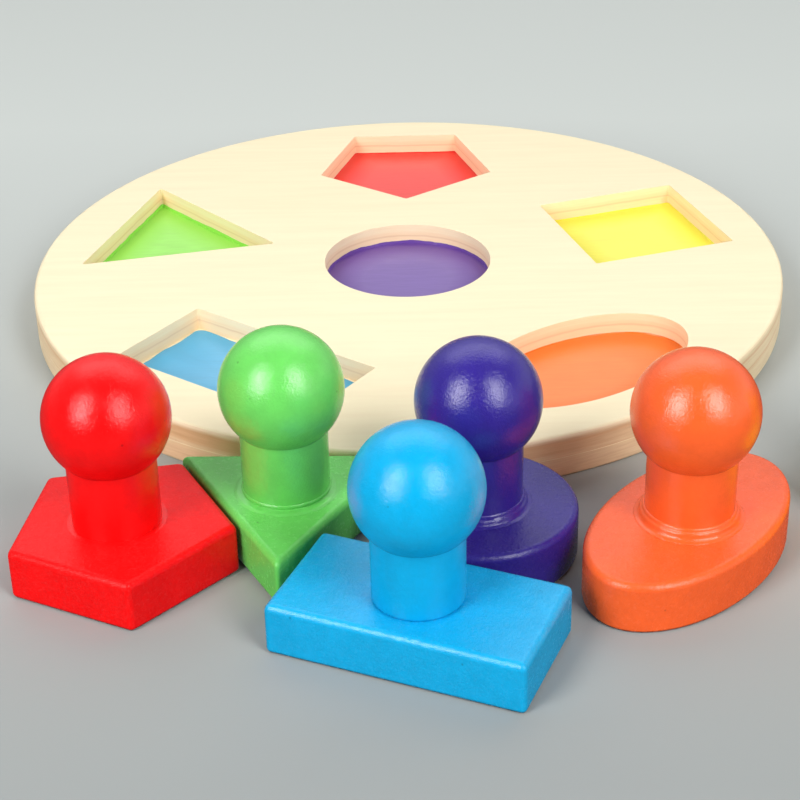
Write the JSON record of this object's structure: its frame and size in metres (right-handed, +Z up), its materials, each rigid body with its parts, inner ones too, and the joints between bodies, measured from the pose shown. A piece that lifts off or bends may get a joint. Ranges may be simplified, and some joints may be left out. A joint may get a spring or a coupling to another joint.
{
  "type": "shape puzzle",
  "caption": "Round plywood shape puzzle board with coloured recesses, and painted wooden blocks with ball knobs that lift by hand and fit the matching recess.",
  "frame": {"origin": "centre of the board's underside, on the table", "axes": "+Z up out of the board, -Y from the board towards the blocks that stand in front of it"},
  "size_m": [0.2668, 0.3066, 0.0555],
  "materials": {
    "top_plywood": "clear satin lacquer on pale plywood",
    "backing_plywood": "clear satin lacquer on pale plywood",
    "red_floor_paint": "thin matt paint",
    "green_floor_paint": "thin matt paint",
    "blue_floor_paint": "thin matt paint",
    "purple_floor_paint": "thin matt paint",
    "orange_floor_paint": "thin matt paint",
    "yellow_floor_paint": "thin matt paint",
    "red_paint": "satin paint",
    "green_paint": "satin paint",
    "blue_paint": "satin paint",
    "purple_paint": "satin paint",
    "orange_paint": "satin paint",
    "yellow_paint": "satin paint",
    "dowel_wood": "bare wood"
  },
  "bodies": {
    "board": {"backing_board": "backing_plywood", "top_board": "top_plywood", "pentagon_floor_paint": "red_floor_paint", "triangle_floor_paint": "green_floor_paint", "rectangle_floor_paint": "blue_floor_paint", "circle_floor_paint": "purple_floor_paint", "oval_floor_paint": "orange_floor_paint", "square_floor_paint": "yellow_floor_paint"},
    "pentagon_block": {"pentagon_base": "red_paint", "pentagon_knob": "red_paint", "pentagon_dowel": "dowel_wood"},
    "triangle_block": {"triangle_base": "green_paint", "triangle_knob": "green_paint", "triangle_dowel": "dowel_wood"},
    "rectangle_block": {"rectangle_base": "blue_paint", "rectangle_knob": "blue_paint", "rectangle_dowel": "dowel_wood"},
    "circle_block": {"circle_base": "purple_paint", "circle_knob": "purple_paint", "circle_dowel": "dowel_wood"},
    "oval_block": {"oval_base": "orange_paint", "oval_knob": "orange_paint", "oval_dowel": "dowel_wood"},
    "square_block": {"square_base": "yellow_paint", "square_knob": "yellow_paint", "square_dowel": "dowel_wood"}
  },
  "joints": [
    {"name": "lift_pentagon", "type": "slide", "parent": "board", "child": "pentagon_block", "axis": [0, 0, 1], "range_m": [0, 0.08]},
    {"name": "lift_triangle", "type": "slide", "parent": "board", "child": "triangle_block", "axis": [0, 0, 1], "range_m": [0, 0.08]},
    {"name": "lift_rectangle", "type": "slide", "parent": "board", "child": "rectangle_block", "axis": [0, 0, 1], "range_m": [0, 0.08]},
    {"name": "lift_circle", "type": "slide", "parent": "board", "child": "circle_block", "axis": [0, 0, 1], "range_m": [0, 0.08]},
    {"name": "lift_oval", "type": "slide", "parent": "board", "child": "oval_block", "axis": [0, 0, 1], "range_m": [0, 0.08]},
    {"name": "lift_square", "type": "slide", "parent": "board", "child": "square_block", "axis": [0, 0, 1], "range_m": [0, 0.08]}
  ]
}
